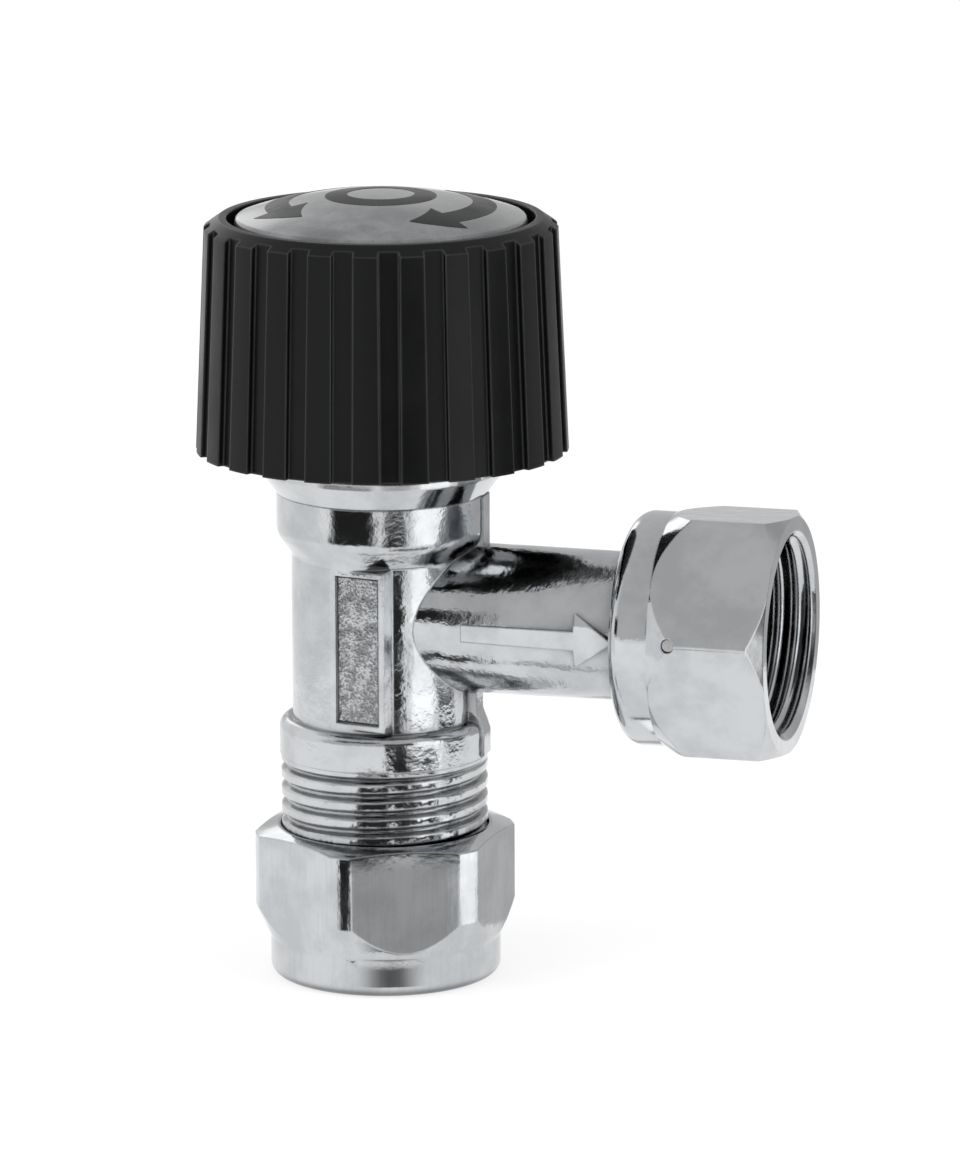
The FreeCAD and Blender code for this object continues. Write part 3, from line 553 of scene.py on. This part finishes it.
def chrome_finish(name, ripple, ripple_depth, smooth, dull, crease, field=False, strokes=False):
    """Bright chrome plate: faint ripple, cloudy gloss, painted shade in creases, and a stippled field or
    strokes.
    """
    finish, tree, shader = new_finish(name)
    fine = ripple * FINE_TO_COARSE
    grain = use_group(tree, GRAIN, Coarse=ripple, Fine=fine, Fine_Share=CHROME_FINE_SHARE)
    haze = use_group(tree, HAZE, Scale=CHROME_CLOUD, Low=smooth, High=dull)
    edges = use_group(tree, EDGES, Radius=CHROME_EDGE)
    creases = use_group(tree, CREASE_SHADE_GROUP, Distance=crease)
    cloud = spread(tree, haze.outputs["Mask"], *CLOUD_RANGE, 0.0, 1.0)
    plate = mix_colours(tree, cloud, CHROME_LIGHT, CHROME_DEEP)
    height = grain.outputs["Height"]
    if strokes:
        stroke = polishing_strokes(tree)
        worn = spread(tree, stroke, *STROKE_RANGE, 0.0, STROKE_WEAR)
        plate = mix_colours(tree, worn, plate, CHROME_WORN)
        height = math_node(tree, "MULTIPLY_ADD", stroke, STROKE_HEIGHT, height)
    if field:
        rough_field = use_group(tree, GRAIN, Coarse=900.0, Fine=3600.0, Fine_Share=0.7)
        sunk = panel_field_mask(tree)
        stipple = math_node(tree, "MULTIPLY", rough_field.outputs["Height"], sunk)
        height = math_node(tree, "MULTIPLY_ADD", stipple, STIPPLE_HEIGHT, height)
        # painted shade in the hollows of the stippled field
        hollow_shade = spread(tree, rough_field.outputs["Height"], *HOLLOW_RANGE, *HOLLOW_SHADE)
        hollow_shade = math_node(tree, "MULTIPLY", sunk, hollow_shade)
        plate = mix_colours(tree, hollow_shade, plate, CHROME_SHADED)
    # painted shade: creases and narrow gaps are darkened from the occlusion mask
    crease_shade = math_node(tree, "MULTIPLY", creases.outputs["Mask"], CREASE_SHADE_SHARE)
    colour = mix_colours(tree, crease_shade, plate, CHROME_CREASE_SHADE)
    tree.links.new(colour, shader.inputs["Base Color"])
    tree.links.new(haze.outputs["Value"], shader.inputs["Roughness"])
    shader.inputs["Metallic"].default_value = 1.0
    add_bump(tree, shader, height, ripple_depth, normal=edges.outputs["Normal"])
    return finish


def polishing_strokes(tree):
    """Height of the upright strokes that polishing leaves on the flats of a nut."""
    along = tree.nodes.new("ShaderNodeVectorMath")
    along.operation = "MULTIPLY"
    along.inputs[1].default_value = STROKE_STRETCH
    tree.links.new(place_of(tree), along.inputs[0])
    return noise(tree, along.outputs["Vector"], STROKE_SCALE, STROKE_DETAIL, STROKE_ROUGHNESS)


def panel_field_mask(tree):
    """1 in the sunk field of the front panel of the casting, 0 elsewhere."""
    start = tree.nodes.new("ShaderNodeVectorMath")
    start.operation = "ADD"
    middle = (FIELD_LOW + FIELD_HIGH) / 2
    start.inputs[1].default_value = (0.0, PANEL_FACE * MM, -middle * MM)
    tree.links.new(place_of(tree), start.inputs[0])
    mask = None
    half_height = (FIELD_HIGH - FIELD_LOW) / 2
    limits = (
        ((math.cos(PANEL_TURN), -math.sin(PANEL_TURN), 0.0), FIELD_HALF_WIDTH),
        ((-math.sin(PANEL_TURN), -math.cos(PANEL_TURN), 0.0), FIELD_REACH),
        ((0.0, 0.0, 1.0), half_height),
    )
    for direction, limit in limits:
        along = tree.nodes.new("ShaderNodeVectorMath")
        along.operation = "DOT_PRODUCT"
        along.inputs[1].default_value = direction
        tree.links.new(start.outputs["Vector"], along.inputs[0])
        reach = math_node(tree, "ABSOLUTE", along.outputs["Value"])
        inside = spread(tree, reach, (limit - FIELD_SOFT_EDGE) * MM, limit * MM, 1.0, 0.0)
        mask = inside if mask is None else math_node(tree, "MULTIPLY", mask, inside)
    return mask


PLASTIC_DARK = (0.002, 0.0022, 0.0024)
PLASTIC_BLACK = (0.0045, 0.0047, 0.005)
PLASTIC_EDGE_HIGHLIGHT = (0.075, 0.077, 0.08)
DISC_DEEP = (0.09, 0.094, 0.098)
DISC_LIGHT = (0.21, 0.214, 0.218)
DISC_FLAKE = (0.36, 0.365, 0.37)
DISC_EDGE_HIGHLIGHT = (0.75, 0.76, 0.77)
DISC_FLAKE_SHARE = 0.3
DISC_GLOSS = (0.22, 0.34)
PRINT_DARK = (0.006, 0.0065, 0.007)
PRINT_LIGHT = (0.011, 0.0115, 0.012)
CLEAR_COAT_ROUGHNESS = 0.04
MOULDED_GRAIN = 0.00002
TURNED_GRAIN = 0.00002
DISC_GRAIN = 0.000004


def black_plastic_finish():
    """Satin moulded black with a fine spark-eroded grain and a painted highlight along its edges."""
    finish, tree, shader = new_finish("satin_black_plastic")
    grain = use_group(tree, GRAIN, Coarse=1800.0, Fine=7000.0, Fine_Share=0.5)
    haze = use_group(tree, HAZE, Scale=70.0, Low=0.28, High=0.40)
    edges = use_group(tree, EDGES, Radius=0.00035)
    body = mix_colours(tree, haze.outputs["Mask"], PLASTIC_DARK, PLASTIC_BLACK)
    # painted highlight along the edges, broken up by the cloudy mask
    edge_highlight = math_node(tree, "MULTIPLY", edges.outputs["Edge"], haze.outputs["Mask"])
    colour = mix_colours(tree, edge_highlight, body, PLASTIC_EDGE_HIGHLIGHT)
    tree.links.new(colour, shader.inputs["Base Color"])
    tree.links.new(haze.outputs["Value"], shader.inputs["Roughness"])
    shader.inputs["Specular IOR Level"].default_value = 0.17
    add_bump(tree, shader, grain.outputs["Height"], MOULDED_GRAIN, 0.6, edges.outputs["Normal"])
    return finish


def dome_finish():
    """Silver-grey printed disc under a clear domed coat, with cloudy patches of painted reflection and a
    painted highlight round its edge.
    """
    finish, tree, shader = new_finish("domed_silver_disc")
    haze = use_group(tree, HAZE, Scale=110.0, Low=0.0, High=1.0)
    flake = use_group(tree, GRAIN, Coarse=2600.0, Fine=9000.0, Fine_Share=0.8)
    edges = use_group(tree, EDGES, Radius=0.0004)
    # silver-grey ground of the disc, with cloudy dark and light patches painted in as reflections
    ground_and_reflection = mix_colours(tree, haze.outputs["Value"], DISC_DEEP, DISC_LIGHT)
    glint = math_node(tree, "MULTIPLY", flake.outputs["Mask"], DISC_FLAKE_SHARE)
    flaked = mix_colours(tree, glint, ground_and_reflection, DISC_FLAKE)
    # painted highlight round the edge of the dome
    colour = mix_colours(tree, edges.outputs["Edge"], flaked, DISC_EDGE_HIGHLIGHT)
    gloss = spread(tree, haze.outputs["Value"], 0.0, 1.0, *DISC_GLOSS)
    tree.links.new(colour, shader.inputs["Base Color"])
    tree.links.new(gloss, shader.inputs["Roughness"])
    shader.inputs["Metallic"].default_value = 0.4
    shader.inputs["Coat Weight"].default_value = 0.6
    shader.inputs["Coat Roughness"].default_value = CLEAR_COAT_ROUGHNESS
    add_bump(tree, shader, flake.outputs["Height"], DISC_GRAIN, 0.3, edges.outputs["Normal"])
    return finish


def print_finish():
    """Dark grey print of the dome, under the same clear coat."""
    finish, tree, shader = new_finish("dark_print")
    haze = use_group(tree, HAZE, Scale=200.0, Low=0.3, High=0.4)
    colour = mix_colours(tree, haze.outputs["Mask"], PRINT_DARK, PRINT_LIGHT)
    tree.links.new(colour, shader.inputs["Base Color"])
    tree.links.new(haze.outputs["Value"], shader.inputs["Roughness"])
    shader.inputs["Specular IOR Level"].default_value = 0.1
    shader.inputs["Coat Weight"].default_value = 0.12
    shader.inputs["Coat Roughness"].default_value = CLEAR_COAT_ROUGHNESS
    return finish


def metal_finish(name, light, deep, smooth, dull):
    """Bare turned metal with faint tool marks and a cloudy tarnish."""
    finish, tree, shader = new_finish(name)
    grain = use_group(tree, GRAIN, Coarse=1500.0, Fine=6000.0, Fine_Share=0.4)
    haze = use_group(tree, HAZE, Scale=220.0, Low=smooth, High=dull)
    edges = use_group(tree, EDGES, Radius=0.00015)
    colour = mix_colours(tree, haze.outputs["Mask"], light, deep)
    tree.links.new(colour, shader.inputs["Base Color"])
    tree.links.new(haze.outputs["Value"], shader.inputs["Roughness"])
    shader.inputs["Metallic"].default_value = 1.0
    add_bump(tree, shader, grain.outputs["Height"], TURNED_GRAIN, 0.5, edges.outputs["Normal"])
    return finish


def soft_finish(name, light, deep, smooth, dull):
    """Rubber or plain plastic with a fine moulded skin."""
    finish, tree, shader = new_finish(name)
    grain = use_group(tree, GRAIN, Coarse=2200.0, Fine=8000.0, Fine_Share=0.5)
    haze = use_group(tree, HAZE, Scale=150.0, Low=smooth, High=dull)
    colour = mix_colours(tree, haze.outputs["Mask"], light, deep)
    tree.links.new(colour, shader.inputs["Base Color"])
    tree.links.new(haze.outputs["Value"], shader.inputs["Roughness"])
    add_bump(tree, shader, grain.outputs["Height"], MOULDED_GRAIN, 0.6)
    return finish


BRASS = ((0.72, 0.52, 0.25), (0.55, 0.37, 0.16))
STAINLESS = ((0.58, 0.58, 0.57), (0.42, 0.42, 0.42))
RUBBER = ((0.018, 0.018, 0.018), (0.03, 0.03, 0.03))
ACETAL = ((0.8, 0.79, 0.75), (0.72, 0.71, 0.66))

FINISHES = {
    "chromed_casting": chrome_finish(
        "chrome_on_casting", ripple=520.0, ripple_depth=0.000075, smooth=0.05, dull=0.15, crease=0.003,
        field=True),
    "chromed_turning": chrome_finish(
        "chrome_on_turning", ripple=340.0, ripple_depth=0.000030, smooth=0.05, dull=0.12, crease=0.0016),
    "brass": metal_finish("bare_brass", *BRASS, smooth=0.2, dull=0.38),
    "stainless": metal_finish("drawn_stainless", *STAINLESS, smooth=0.22, dull=0.36),
    "rubber": soft_finish("black_rubber", *RUBBER, smooth=0.55, dull=0.72),
    "white_plastic": soft_finish("natural_acetal", *ACETAL, smooth=0.35, dull=0.5),
    "black_plastic": black_plastic_finish(),
    "silver_plastic": dome_finish(),
}


def dress(piece, finish):
    piece.data.materials.clear()
    piece.data.materials.append(finish)


for part in frame["record"]["subparts"]:
    dress(frame["nodes"][part["node"]], FINISHES[part["material_slot"]])
polished_flats = chrome_finish(
    "chrome_on_flats", ripple=340.0, ripple_depth=0.000045, smooth=0.05, dull=0.13, crease=0.0016,
    strokes=True)
dress(frame["nodes"]["compression_nut"], polished_flats)


# pieces that stand for nodes, and pieces added to them

threaded_body = copy_of_node("valve_body", "valve_body_threaded")
cut_inlet_thread(threaded_body)
smooth_faces(threaded_body, FORM_CREASE)
dress(threaded_body, FINISHES["chromed_casting"])
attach(threaded_body, "valve_body")
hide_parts("valve_body")

threaded_nut = copy_of_node("swivel_nut", "swivel_nut_threaded")
cut_swivel_thread(threaded_nut)
smooth_faces(threaded_nut, FORM_CREASE)
dress(threaded_nut, FINISHES["chromed_turning"])
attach(threaded_nut, "swivel_nut")
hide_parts("swivel_nut")

flow_arrow = make_flow_arrow()
dress(flow_arrow, FINISHES["chromed_casting"])
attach(flow_arrow, "valve_body")

dark_print = print_finish()
dome_prints = [
    print_ring(),
    print_arrow("dome_print_left", *PRINT_LEFT),
    print_arrow("dome_print_right", *PRINT_RIGHT),
]
for dome_print in dome_prints:
    smooth_faces(dome_print, RELIEF_CREASE)
    dress(dome_print, dark_print)
    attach(dome_print, "handwheel")


# camera, at the view of the photograph

AZIMUTH = math.radians(16.0)
ELEVATION = math.radians(12.57)
DISTANCE = 0.838
LENS = 253.1
AIM_RIGHT = 9.74 * MM
AIM_UP = 39.1 * MM
ROLL = math.radians(-0.25)
SENSOR_WIDTH = 36.0
NEAREST = 0.01
FARTHEST = 50.0

camera_back = Vector((math.sin(AZIMUTH) * math.cos(ELEVATION),
                      -math.cos(AZIMUTH) * math.cos(ELEVATION),
                      math.sin(ELEVATION)))
camera_right = Vector((math.cos(AZIMUTH), math.sin(AZIMUTH), 0))
camera_up = camera_back.cross(camera_right)


def make_camera():
    lens = bpy.data.cameras.new("camera")
    lens.lens = LENS
    lens.sensor_width = SENSOR_WIDTH
    lens.clip_start = NEAREST
    lens.clip_end = FARTHEST
    camera = bpy.data.objects.new("camera", lens)
    bpy.context.scene.collection.objects.link(camera)
    aim = camera_right * AIM_RIGHT + camera_up * AIM_UP
    axes = Matrix((camera_right, camera_up, camera_back)).transposed()
    turn = axes @ Matrix.Rotation(ROLL, 3, "Z")
    camera.matrix_world = Matrix.Translation(aim + camera_back * DISTANCE) @ turn.to_4x4()
    bpy.context.scene.camera = camera


make_camera()


# floor, surroundings and light

ROOM_LIGHT = 0.95
ROOM_IN_METAL = 0.62
FLOOR_SHADOW = 0.22
FLOOR_HALF = 8.0
FLOOR_LEVEL = -0.00005
FLOOR_PAPER = (0.92, 0.92, 0.92)
CARD_COLUMNS = 32
CARD_ROWS = (0.0, 0.2, 0.8, 1.0)
LAMP_AIM = Vector((0.01, 0, 0.04))


def make_world():
    """White behind the valve, a greyer room in its metal, and soft light all round."""
    world = bpy.data.worlds.new("white_room")
    bpy.context.scene.world = world
    world.use_nodes = True
    tree = world.node_tree
    tree.nodes.clear()
    path = tree.nodes.new("ShaderNodeLightPath")
    level = tree.nodes.new("ShaderNodeBackground")
    greyer = ROOM_IN_METAL - ROOM_LIGHT
    in_metal = math_node(tree, "MULTIPLY", path.outputs["Is Glossy Ray"], greyer)
    seen = math_node(tree, "MULTIPLY", path.outputs["Is Camera Ray"], 1.0 - ROOM_LIGHT)
    strength = math_node(tree, "ADD", math_node(tree, "ADD", in_metal, seen), ROOM_LIGHT)
    tree.links.new(strength, level.inputs["Strength"])
    end = tree.nodes.new("ShaderNodeOutputWorld")
    tree.links.new(level.outputs["Background"], end.inputs["Surface"])
    level.inputs["Color"].default_value = (1.0, 1.0, 1.0, 1.0)


def make_floor():
    mesh = bpy.data.meshes.new("floor")
    sides = ((-1, -1), (1, -1), (1, 1), (-1, 1))
    corners = [(FLOOR_HALF * x, FLOOR_HALF * y, FLOOR_LEVEL) for x, y in sides]
    mesh.from_pydata(corners, [], [(0, 1, 2, 3)])
    floor = new_piece("floor", mesh)
    finish = bpy.data.materials.new("white_paper")
    finish.use_nodes = True
    tree = finish.node_tree
    tree.nodes.clear()
    paper = tree.nodes.new("ShaderNodeBsdfDiffuse")
    paper.inputs["Color"].default_value = (*FLOOR_PAPER, 1.0)
    white = tree.nodes.new("ShaderNodeEmission")
    white.inputs["Strength"].default_value = 1.0
    path = tree.nodes.new("ShaderNodeLightPath")
    shown = math_node(tree, "MAXIMUM", path.outputs["Is Camera Ray"], path.outputs["Is Glossy Ray"])
    kept = math_node(tree, "MULTIPLY", shown, 1.0 - FLOOR_SHADOW)
    choice = tree.nodes.new("ShaderNodeMixShader")
    tree.links.new(kept, choice.inputs[0])
    tree.links.new(paper.outputs["BSDF"], choice.inputs[1])
    tree.links.new(white.outputs["Emission"], choice.inputs[2])
    end = tree.nodes.new("ShaderNodeOutputMaterial")
    tree.links.new(choice.outputs["Shader"], end.inputs["Surface"])
    dress(floor, finish)


def make_card(name, middle, width, distance, bottom, top, strength, soft):
    """A curved studio card, seen only in reflections, with soft edges except where it stands on the floor.

    Its middle, to the right of the camera, its width and its soft sides are angles in degrees."""
    row_cover = (0.0 if bottom else 1.0, 1.0, 1.0, 0.0)
    points, cover = [], []
    for row, shown in zip(CARD_ROWS, row_cover):
        level = bottom + (top - bottom) * row
        for step in range(CARD_COLUMNS + 1):
            part = step / CARD_COLUMNS
            angle = AZIMUTH + math.radians(middle + width * (part - 0.5))
            points.append((math.sin(angle) * distance, -math.cos(angle) * distance, level))
            edge = min(part, 1 - part) * width / soft
            cover.append(shown * float(fade(edge, 0.0, 1.0)))
    faces = []
    for row in range(len(CARD_ROWS) - 1):
        for step in range(CARD_COLUMNS):
            first = row * (CARD_COLUMNS + 1) + step
            above = first + CARD_COLUMNS + 1
            faces.append((first, first + 1, above + 1, above))
    mesh = bpy.data.meshes.new(name)
    mesh.from_pydata(points, [], faces)
    layer = mesh.attributes.new("cover", "FLOAT", "POINT")
    layer.data.foreach_set("value", cover)
    card = new_piece(name, mesh)
    dress(card, card_finish(name + "_face", strength))
    card.visible_camera = False
    card.visible_diffuse = False
    card.visible_shadow = False


def card_finish(name, strength):
    """An even glow, clear where the card's cover fades."""
    finish = bpy.data.materials.new(name)
    finish.use_nodes = True
    tree = finish.node_tree
    tree.nodes.clear()
    read = tree.nodes.new("ShaderNodeAttribute")
    read.attribute_name = "cover"
    clear = tree.nodes.new("ShaderNodeBsdfTransparent")
    face = tree.nodes.new("ShaderNodeEmission")
    face.inputs["Strength"].default_value = strength
    choice = tree.nodes.new("ShaderNodeMixShader")
    tree.links.new(read.outputs["Fac"], choice.inputs[0])
    tree.links.new(clear.outputs["BSDF"], choice.inputs[1])
    tree.links.new(face.outputs["Emission"], choice.inputs[2])
    end = tree.nodes.new("ShaderNodeOutputMaterial")
    tree.links.new(choice.outputs["Shader"], end.inputs["Surface"])
    return finish


def make_lamp(name, angle, height, distance, width, power):
    """A soft box that faces the valve."""
    light = bpy.data.lights.new(name, "AREA")
    light.shape = "RECTANGLE"
    light.size = width
    light.size_y = width
    light.energy = power
    lamp = bpy.data.objects.new(name, light)
    bpy.context.scene.collection.objects.link(lamp)
    turn = AZIMUTH + math.radians(angle)
    place = Vector((math.sin(turn) * distance, -math.cos(turn) * distance, height))
    lamp.location = place
    lamp.rotation_mode = "QUATERNION"
    lamp.rotation_quaternion = (LAMP_AIM - place).to_track_quat("-Z", "Y")
    lamp.visible_glossy = False


make_world()
make_floor()

# each card's name, middle and width, distance, bottom and top in metres, strength and soft sides
make_card("dark_column", 13.0, 28.0, 0.100, 0.0, 0.036, 0.03, 5.0)
make_card("dark_collar", -28.0, 50.0, 0.032, 0.037, 0.050, 0.02, 9.0)
make_card("dark_thread", 32.0, 50.0, 0.050, 0.003, 0.016, 0.03, 6.0)
make_card("dark_thread_left", -9.0, 30.0, 0.020, 0.011, 0.021, 0.03, 4.0)
make_card("dark_handle", 15.0, 42.0, 0.100, 0.034, 0.078, 0.0, 8.0)
make_card("bright_strip", 48.0, 34.0, 0.110, 0.0, 0.100, 1.65, 5.0)
make_card("dark_side", 82.0, 34.0, 0.120, 0.0, 0.080, 0.05, 8.0)
make_card("light_side", -112.0, 104.0, 0.130, 0.0, 0.200, 0.95, 16.0)
make_card("grey_side", 130.0, 64.0, 0.160, 0.0, 0.200, 0.5, 14.0)
make_card("window", 206.0, 40.0, 0.300, 0.085, 0.250, 1.7, 8.0)
make_card("low_grey", 14.0, 40.0, 0.026, 0.0, 0.012, 0.46, 10.0)
make_card("low_dark_left", -27.0, 9.0, 0.026, 0.0, 0.014, 0.02, 2.0)
make_card("low_dark_middle", 51.0, 5.0, 0.026, 0.0, 0.014, 0.03, 1.5)
make_card("low_bright", 61.0, 15.0, 0.026, 0.0, 0.014, 1.6, 2.0)
make_card("low_dark_right", 71.0, 6.0, 0.026, 0.0, 0.014, 0.03, 1.5)
make_card("low_foot", 4.0, 48.0, 0.0145, 0.0, 0.0028, 0.16, 22.0)
make_card("low_side", 112.0, 60.0, 0.028, 0.0, 0.013, 0.6, 10.0)

# each lamp's name, angle, height, distance and width in metres, and power
make_lamp("left_box", -60.0, 0.5, 0.7, 0.6, 4.0)
make_lamp("right_box", 55.0, 0.45, 0.7, 0.4, 3.0)

bpy.context.scene.view_settings.view_transform = "Standard"
